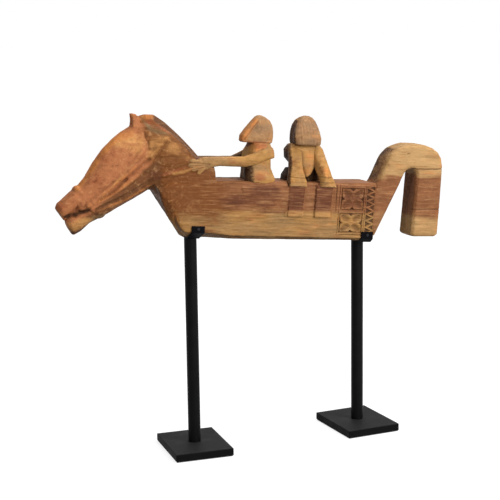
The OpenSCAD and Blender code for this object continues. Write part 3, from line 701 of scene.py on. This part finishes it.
def soften_horse(mesh, local):
    """Rounds the face, the chest and the front rider's thighs, which are worn smooth."""
    x, y, z = local.T
    face = fade(x, -150, -110) * ramp(x + 0.8 * z, -350, -300) * fade(z, 335, 350)
    chest = fade(x, -20, 30) * fade(z, 120, 165) * ramp(x, -150, -120)
    thigh = fade(np.hypot((x - 235) / 92, (z - 150) / 82), 0.8, 1.0) * (np.abs(y) > 50) * (z < 186)
    soften(mesh, FACE_ROUNDS, np.maximum(face, 0.25 * (x < 60)))
    soften(mesh, CHEST_ROUNDS, chest * (np.abs(y) > 10))
    soften(mesh, THIGH_ROUNDS, thigh)


def round_panels(local):
    """The near side round the carved panels, whose faces are split."""
    x, y, z = local.T
    return (x > 488) & (x < 650) & (y < -62) & (z > 8) & (z < 200)


def carve_horse(mesh, local, normal):
    """Panels, lines of the head and tool marks, and the chest's near corner drawn forward."""
    x, y, z = local.T
    near = ramp(-y, 52, 62) * (x > 480)
    depth, cut = panel_relief(x, z)
    depth, cut = depth * near, cut * near
    lift, recess_shade = head_relief(local, normal)
    plain = depth < 0.2
    lift += (chisel(local, TOOL_DEPTH, TOOL_SIZE, seed=1)
             + WAVE_DEPTH * noise_of(local, WAVE_SIZE, seed=3, stretch=1.5) + TAKEN_OFF) * plain
    lift += JAW_TAKEN_OFF * fade(x, -150, -110) * fade(z + 0.55 * x, -110, -40) * ramp(x, -450, -400)
    moved = to_shared(local) + normal * ((lift - depth) * MM)[:, None]
    # the chest's near corner runs close to its outline towards the foot
    reach = np.interp(z, CHEST_Z, CHEST_REACH)
    front = np.interp(z, CHEST_FRONT_Z, CHEST_FRONT_X)
    on = ramp(-y, 0, 58) * fade(x, front, front + 120) * (x > -200)
    moved[:, 0] -= MM * reach * on
    write_points(mesh, moved)
    # painted shade in the panels' hollows and in the creases of the head
    set_cavity(mesh, np.maximum(cut, recess_shade))


def marks(tint, local):
    """The strongest of the spots, stripes and patches of this tint at each vertex."""
    x, _, z = local.T
    fields = [strength * spot(local, *place) for strength, *place in HORSE_SPOTS.get(tint, ())]
    fields += [strength * path_depth(points, width, x, z)
               for strength, width, points in HORSE_STRIPES.get(tint, ())]
    fields += [strength * patch(local, points, soft)
               for strength, soft, points in HORSE_PATCHES.get(tint, ())]
    return strongest(*fields)


def horse_tint(local, normal):
    x, y, z = local.T
    legs = ((x > 313) & (x < 372) | (x > 412) & (x < 475)) * (z < 190) * (y < 0)
    feet = legs * fade(z, 94, 104) * (z > 76)
    # painted shade on the chest's front, which faces away from the lamps, and on the downward faces of the
    # underside
    chest = ramp(-normal[:, 0], 0.60, 0.90) * (z < 165) * (x > -160) * (x < 60)
    underside = ramp(-normal[:, 2], 0.3, 0.8) * (z < 30)
    return {"calm": fade(x + 0.3 * (z - 187), -120, 0),
            "neck": fade(x + 0.35 * (z - 187), 0, 150) * (0.26 + 0.74 * ramp(z, 35, 120)),
            "cheek": fade(x + 0.25 * (z - 187), -190, -120),
            "jaw": fade(x + 0.1 * z, -130, -90) * fade(z - 0.86 * (x + 262), 140, 176) * 0.85,
            "tan": np.maximum(marks("tan", local), feet * 0.36),
            "orange": marks("orange", local),
            "red": marks("red", local),
            "mane": ramp(path_depth(MANE_LINE, MANE_LINE_WIDTH, x, z), 0.30, 0.75),
            "moss": marks("moss", local),
            "purple": np.maximum(marks("purple", local), legs * ramp(z, 96, 108) * 0.85),
            "shade": np.maximum(chest * 0.7, underside * 0.6)}


def horse_body():
    """The trunk, head, mane, bridle and both riders' legs, which are one piece of wood."""
    obj = joined(HORSE_NODES)
    remeshed(obj, HORSE_VOXEL)
    mesh = obj.data
    smooth(mesh, HORSE_ROUNDS)
    local = to_carving(read_points(mesh))
    settle_legs(local)
    write_points(mesh, to_shared(local))
    soften_horse(mesh, local)
    refine(mesh, round_panels, PANEL_CUTS)
    local, normal = to_carving(read_points(mesh)), read_normals(mesh)
    carve_horse(mesh, local, normal)
    paint(mesh, **horse_tint(local, normal))
    material = wood("carved_horse_wood", top=234, tints=HORSE_TINTS)
    return put(obj, "carved_horse", material, "horse_wood", *HORSE_NODES)


# ---------- the tail and the riders ----------

# tints of the riders and the tail; the last is painted shade
RIDER_TINTS = (("orange", ORANGE), ("red", RED), ("purple", PURPLE), ("shade", SHADE))
WORN_ROUNDS = 60            # of smoothing, where a form is worn smooth
KNIFE_DEPTH = 1.6           # of the lines on hands and the cracks in the tail, in millimetres
HOLLOW_DEPTH = 20           # beside the rear rider's belly
GOUGE_DEPTH, GOUGE_PITCH = 0.35, 8.5    # of the strokes on the rear rider's helmet
RIM_DEPTH = 0.9             # of the edge on the front rider's helmet
# How far a side is drawn along the log: the near side of the rear helmet and of the front torso
# forward, the far side of the rear torso backward, and the rear rider's hands towards each other
HELMET_DRAW, FRONT_TORSO_DRAW, REAR_TORSO_DRAW, LEFT_HAND_DRAW, RIGHT_HAND_DRAW = 19.0, 13.0, 24, 5.0, 4.0


def simple_form(name, node, material, slot, skin, tool, sculpt, tint, soft=None):
    """One CAD node as a worn, hand-cut form.

    skin is the voxel size it is remeshed at and its rounds of smoothing, and tool the depth, the
    size and the seed of its tool marks. sculpt may move its points, and gives the lift of its skin
    and its painted shade. tint gives the amounts of its tints, and soft says where it is worn smooth.
    """
    voxel, rounds = skin
    obj = joined([node])
    remeshed(obj, voxel)
    mesh = obj.data
    smooth(mesh, rounds)
    if soft:
        soften(mesh, WORN_ROUNDS, soft(to_carving(read_points(mesh))))
    local, normal = to_carving(read_points(mesh)), read_normals(mesh)
    lift = chisel(local, *tool) + TAKEN_OFF
    more, recess_shade = sculpt(local, normal)
    write_points(mesh, to_shared(local) + normal * ((lift + more) * MM)[:, None])
    set_cavity(mesh, recess_shade)
    paint(mesh, **tint(local, normal))
    return put(obj, name, material, slot, node)


def rear_helmet(local, normal):
    """Upright gouge strokes, and the near side drawn forward."""
    x, y, _ = local.T
    side = ramp(-normal[:, 1], 0.3, 0.7)
    wave = np.sin((x + 2.5 * noise_of(local, 30, seed=5)) * 2 * math.pi / GOUGE_PITCH)
    wave *= 0.6 + noise_of(local, 24, seed=6, stretch=0.3)
    local[:, 0] -= HELMET_DRAW * ramp(-y, -10, 40) * fade(x, 345, 425)
    # painted shade in the hollows of the gouge strokes
    return GOUGE_DEPTH * wave * side, np.clip(-wave * side, 0, 1) * 0.22


def rear_helmet_tint(local, normal):
    # painted shade on the helmet's left-hand faces, away from the lamps
    return {"shade": ramp(-normal[:, 0], 0.70, 0.92) * 0.9,
            "orange": spot(local, 350, 380, 40, 30) * 0.25}


def v_torso(local, normal):
    """The rear rider's belly narrows to a point between the arms, with a deep hollow beside it."""
    x, y, z = local.T
    edge = np.interp(z, [207, 221, 246, 268, 290], [392, 408, 420, 424, 440])
    hollow = ramp(x, edge - 2, edge + 7) * fade(z, 280, 300) * ramp(-y, 10, 26)
    low = fade(z, 196, 214) * ramp(-y, 10, 26)
    depth = np.maximum(hollow, low)
    beside = ramp(x, edge - 8, edge + 4) * fade(z, 270, 300)
    left = fade(x, 362, 384) * fade(z, 285, 310)
    local[:, 0] += REAR_TORSO_DRAW * ramp(x, 395, 425) * fade(z, 235, 290) * ramp(y, -24, 0)
    # painted shade beside the belly, in its hollow and over the torso's left-hand part
    return -HOLLOW_DEPTH * depth * ramp(-normal[:, 1], 0.2, 0.6), strongest(beside, left, depth) * 0.95


def rear_torso_tint(local, normal):
    x, _, z = local.T
    # painted shade on the left-hand part of the torso and hip, in the arm's shadow
    return {"shade": fade(x + 0.25 * (z - 230), 352, 368), "orange": spot(local, 398, 262, 30, 60) * 0.42}


def square_hands(local, normal):
    """The rear rider's hands, with a line at each wrist and along each hand's edge."""
    x, y, z = local.T
    hand = ramp(-y, 20, 50) * fade(z, 190, 290)
    local[:, 0] += hand * np.where(x < 400, LEFT_HAND_DRAW, -RIGHT_HAND_DRAW * ramp(x, 430, 490))
    near = ramp(-y, 56, 64)
    wobble = 1.5 * noise_of(local, 14, seed=33)
    lines = ((0.8, 5, [(312, 212), (388, 209)]), (1.0, 5, [(424, 216), (482, 213)]),
             (0.8, 4, [(424, 198), (490, 196)]), (0.6, 4, [(312, 197), (388, 195)]))
    d = strongest(*(deep * path_depth(points, width, x, z + wobble) for deep, width, points in lines))
    d *= near
    # painted shade in the knife lines
    return -KNIFE_DEPTH * d, d * 0.6


def rear_arm_tint(local, normal):
    # painted shade on the left-hand faces of the left arm
    left = fade(local[:, 0], 400, 410) * ramp(-normal[:, 0], 0.2, 0.7)
    return {"shade": left * 0.75,
            "orange": np.maximum(spot(local, 356, 232, 20, 26), spot(local, 452, 232, 26, 26)) * 0.4,
            "purple": np.maximum(spot(local, 338, 246, 26, 40), spot(local, 432, 250, 12, 50)) * 0.4}


def hand_lines(local, normal):
    """The grooves between the fingers, from the wrist to their tips."""
    x, y, z = local.T
    near = ramp(np.abs(y), 50, 60)
    tips = ((-38, 249), (-40, 238), (-30, 226))
    d = strongest(*(path_depth([(26, 247 + 0.30 * (tip[1] - 246)), tip], 5, x, z) for tip in tips))
    # painted shade in the grooves between the fingers
    return -KNIFE_DEPTH * d * near, d * near * 0.55


def front_arm_tint(local, normal):
    # painted shade on the near-facing side of the far arm, which lies in shadow
    return {"shade": ramp(local[:, 1], 0, 20) * ramp(-normal[:, 1], -0.2, 0.4) * 0.9,
            "orange": np.maximum(spot(local, 262, 282, 30, 30), spot(local, -10, 236, 40, 16)) * 0.45,
            "purple": spot(local, 150, 250, 50, 14, 12) * 0.5}


def front_torso(local, normal):
    """The near corner under the arms, drawn forward."""
    x, y, z = local.T
    local[:, 0] -= FRONT_TORSO_DRAW * ramp(-y, -10, 35) * fade(x, 190, 250) * fade(z, 250, 285)
    return np.zeros_like(x), np.zeros_like(x)


def front_torso_tint(local, normal):
    x, _, z = local.T
    # painted shade on the front of the torso below the arms
    return {"shade": fade(x, 176, 200) * fade(z, 246, 268) * 0.85,
            "red": np.maximum(spot(local, 212, 316, 34, 22), spot(local, 206, 208, 34, 16)) * 0.7,
            "orange": np.maximum(spot(local, 205, 300, 30, 30), spot(local, 215, 220, 46, 16)) * 0.55}


def front_helmet(local, normal):
    """Crisp edge between the sloping front of the front rider's head and its flat side."""
    x, y, z = local.T
    d = path_depth([(200, 393), (178, 367), (154, 328)], 6, x, z) * ramp(-y, 8, 18)
    beside = path_depth([(207, 390), (185, 362), (162, 328)], 7, x, z) * ramp(-y, 8, 18)
    # painted shade in the groove beside the edge
    return RIM_DEPTH * d - RIM_DEPTH * beside, beside * 0.5


def front_helmet_tint(local, normal):
    face = [(140, 322), (196, 398), (214, 402), (190, 362), (166, 322)]
    return {"orange": patch(local, face, 7.0) * 0.7,
            "red": path_depth([(150, 322), (262, 320)], 14, local[:, 0], local[:, 2]) * 0.55}


def tail_cracks(local, normal):
    """Two cracks across the near side of the hanging block and a short one on the arch."""
    x, y, z = local.T
    wobble = 1.2 * noise_of(local, 20, seed=9)
    cracks = ((6.5, [(786, 251), (850, 252), (915, 255)]), (6.5, [(804, 108), (860, 111), (920, 111)]),
              (3, [(764, 304), (777, 304)]))
    d = strongest(*(path_depth(points, width, x, z + wobble) for width, points in cracks))
    d *= ramp(-y, 20, 30)
    # painted shade in the cracks
    return -KNIFE_DEPTH * d, d


def tail_tint(local, normal):
    x, y, z = local.T
    # painted shade on the rising tail's left-hand flank, darkest towards its far edge
    flank = ramp(-normal[:, 0], 0.30, 0.60) * fade(x, 760, 800) * ramp(z, 190, 215)
    return {"shade": flank * ramp(y, -44, 24) * 0.72,
            "purple": flank * ramp(y, -50, -14) * 0.6,
            "orange": strongest(spot(local, 905, 290, 20, 50) * 0.45, spot(local, 860, 240, 50, 10) * 0.45,
                                spot(local, 905, 70, 18, 60) * 0.35)}


def rising_tail(local):
    """Where the tail rises above the trunk."""
    return fade(local[:, 0], 740, 780) * ramp(local[:, 2], 196, 226)


def build_carving():
    pale = wood("rider_wood_oiled", RIDER_WOOD, RIDER_GREY, 150, RIDER_TINTS, 1.0, streaks=0.6, mottling=0.6)
    helmet = wood("helmet_wood", HELMET_WOOD, HELMET_GREY, 150, RIDER_TINTS, 3.0, streaks=0.45, mottling=0.8)
    # a darker copy of the helmet wood: painted shade for the rear helmet, to offset the lamps
    rear = wood("rear_helmet_wood_shaded", tone(HELMET_WOOD, 0.8), tone(HELMET_GREY, 0.8), 150, RIDER_TINTS, 3.0,
                streaks=0.45, mottling=0.9)
    tail = wood("tail_wood", TAIL_WOOD, TAIL_GREY, tints=RIDER_TINTS, seed=2.0, streaks=0.9)
    horse_body()
    simple_form("carved_tail", "horse_tail", tail, "horse_wood", (0.0026, 9), (0.4, 30, 3),
                tail_cracks, tail_tint, rising_tail)
    # each name, CAD node, wood, skin, tool, shape and tint
    riders = (
        ("front_rider_torso", "front_rider_body", pale, (0.0022, 8), (0.4, 18, 4), front_torso,
         front_torso_tint),
        ("front_rider_helmet", "front_rider_head", helmet, (0.0022, 3), (0.4, 18, 5), front_helmet,
         front_helmet_tint),
        ("front_rider_arm_left", "front_rider_left_arm", pale, (0.0018, 5), (0.4, 14, 6), hand_lines,
         front_arm_tint),
        ("front_rider_arm_right", "front_rider_right_arm", pale, (0.0018, 5), (0.4, 14, 7), hand_lines,
         front_arm_tint),
        ("rear_rider_torso", "rear_rider_body", pale, (0.0020, 8), (0.4, 18, 9), v_torso, rear_torso_tint),
        ("rear_rider_helmet", "rear_rider_head", rear, (0.0018, 3), (0.3, 18, 10), rear_helmet,
         rear_helmet_tint),
        ("rear_rider_straight_arms", "rear_rider_arms", pale, (0.0018, 6), (0.4, 16, 11), square_hands,
         rear_arm_tint))
    for name, node, material, *how in riders:
        simple_form(name, node, material, "rider_wood", *how)


# ---------- the stand ----------

# Paints: colour, colour where rubbed, roughness, gloss
BASE_PAINT = ((0.015, 0.0147, 0.015), (0.0255, 0.0248, 0.0255), 0.6, 0.04)
POST_PAINT = ((0.0026, 0.0026, 0.0027), (0.0048, 0.0048, 0.0050), 0.42, 0.05)
CRADLE_PAINT = ((0.0022, 0.0022, 0.0030), (0.0048, 0.0046, 0.0068), 0.5, 0.02)
SCREW_PAINT = ((0.012, 0.012, 0.014), (0.03, 0.03, 0.034), 0.3, 0.10)


def give(node, material):
    """Gives a CAD node its material. Its mesh stays as it is."""
    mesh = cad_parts[node].data
    mesh.materials.clear()
    mesh.materials.append(material)


def finish_stand():
    # the base plates' upright faces take strong painted shade
    ends = {"base_plate": painted_steel("base_paint", *BASE_PAINT, upright=0.2),
            "post": painted_steel("post_paint", *POST_PAINT),
            "cradle": painted_steel("cradle_paint", *CRADLE_PAINT),
            "foot_plug": bare_steel("plug_steel_bare", (0.42, 0.42, 0.44), 0.35),
            "floor_felt": felt("pad_felt")}
    for piece, material in ends.items():
        for end in ("front", "rear"):
            give(f"{end}_{piece}", material)
    give("cradle_screws", painted_steel("screw_black", *SCREW_PAINT))
    give("base_bolts", bare_steel("bolt_zinc", (0.55, 0.55, 0.57), 0.3))


# ---------- floor, light and camera ----------

FLOOR_SIZE, FLOOR_MIDDLE_Y = 60, 10
FLOOR_GREY = 0.30               # what lights the object from below
NEAR_FLOOR, FAR_FLOOR = 0.7, 1.8        # metres from the stand between which the floor turns white
NEAR_WHITE = 0.80               # the floor's own white under the stand, where the lamps add to it
WORLD_LEVEL = 0.05              # light that the world adds
LAMP_TARGET, BROW_TARGET = (0, 0, 0.8), (-0.5, 0, 1.0)
# Each name, place, target, size and watts
LAMPS = (("key", (2.3, -3.2, 2.3), LAMP_TARGET, (1.5, 1.5), 172),
         ("front", (0.7, -4.3, 1.5), LAMP_TARGET, (2.0, 1.4), 84),
         ("top", (0.7, 0.4, 3.4), LAMP_TARGET, (2.2, 1.4), 75),
         ("brow", (-2.2, -1.5, 2.9), BROW_TARGET, (1.0, 1.0), 40))
# The view that the base plates, posts and level ground of a real stand of this size give
VIEW_PLACE = (-1.7361, -4.2283, 1.5120)
VIEW_AZIMUTH, VIEW_ELEVATION, VIEW_ROLL = -0.384, 0.182, -0.014         # radians
VIEW_LENS, VIEW_SENSOR = 98.5, 36       # millimetres
VIEW_END = 60                   # metres, past the floor's far edge


def seen(tree):
    """1 for the rays that show the background, straight or in a reflection, and 0 for those that light."""
    rays = tree.nodes.new("ShaderNodeLightPath")
    value = rays.outputs["Is Camera Ray"]
    for kind in ("Is Glossy Ray", "Is Transmission Ray"):
        either = tree.nodes.new("ShaderNodeMath")
        either.operation = "MAXIMUM"
        tree.links.new(value, either.inputs[0])
        tree.links.new(rays.outputs[kind], either.inputs[1])
        value = either.outputs[0]
    return value


def floor():
    """White to look at, but grey where it lights the carving, so that its left-hand faces stay dark."""
    bpy.ops.mesh.primitive_plane_add(size=FLOOR_SIZE, location=(0, FLOOR_MIDDLE_Y, 0))
    plane = bpy.context.object
    plane.name = "studio_floor"
    t = Tree("studio_white")
    t.bsdf.inputs["Base Color"].default_value = (FLOOR_GREY, FLOOR_GREY, FLOOR_GREY, 1)
    t.bsdf.inputs["Roughness"].default_value = 0.9
    t.bsdf.inputs["Specular IOR Level"].default_value = 0.0
    x, y, _ = t.split(t.node("ShaderNodeTexCoord").outputs["Object"])
    y = t.plus(y, FLOOR_MIDDLE_Y)
    away = t.math("SQRT", t.plus(t.times(x, x), t.times(y, y)))
    white = t.ramp(away, NEAR_FLOOR, FAR_FLOOR, NEAR_WHITE, 1.0)
    t.bsdf.inputs["Emission Color"].default_value = (1, 1, 1, 1)
    t.feed(t.bsdf.inputs["Emission Strength"], t.times(seen(t.tree), white))
    plane.data.materials.append(t.material)


def lamp(name, place, target, size, watts):
    light = bpy.data.lights.new(name, "AREA")
    light.shape = "RECTANGLE"
    light.size, light.size_y = size
    light.energy = watts
    obj = bpy.data.objects.new(name, light)
    obj.location = place
    obj.rotation_euler = (Vector(target) - Vector(place)).to_track_quat("-Z", "Y").to_euler()
    bpy.context.scene.collection.objects.link(obj)


def lights():
    """A world that is white to look at and adds little light, and four lamps."""
    world = bpy.data.worlds.new("studio")
    bpy.context.scene.world = world
    world.use_nodes = True
    tree = world.node_tree
    background = tree.nodes["Background"]
    background.inputs["Color"].default_value = (1, 1, 1, 1)
    level = tree.nodes.new("ShaderNodeMapRange")
    level.inputs["To Min"].default_value = WORLD_LEVEL
    level.inputs["To Max"].default_value = 1.0
    tree.links.new(seen(tree), level.inputs["Value"])
    tree.links.new(level.outputs[0], background.inputs["Strength"])
    for each in LAMPS:
        lamp(*each)


def camera():
    """The one camera, without depth of field or shift."""
    back = Vector((math.sin(VIEW_AZIMUTH) * math.cos(VIEW_ELEVATION),
                   -math.cos(VIEW_AZIMUTH) * math.cos(VIEW_ELEVATION), math.sin(VIEW_ELEVATION)))
    level = (-back).cross(Vector((0, 0, 1))).normalized()
    upright = level.cross(-back)
    right = level * math.cos(VIEW_ROLL) + upright * math.sin(VIEW_ROLL)
    up = upright * math.cos(VIEW_ROLL) - level * math.sin(VIEW_ROLL)
    data = bpy.data.cameras.new("view")
    data.sensor_width = VIEW_SENSOR
    data.lens = VIEW_LENS
    data.clip_end = VIEW_END
    obj = bpy.data.objects.new("view", data)
    turn = Matrix((right, up, back)).transposed().to_4x4()
    obj.matrix_world = Matrix.Translation(VIEW_PLACE) @ turn
    bpy.context.scene.collection.objects.link(obj)
    bpy.context.scene.camera = obj


build_carving()
finish_stand()
floor()
lights()
camera()
bpy.context.scene.view_settings.view_transform = "Standard"
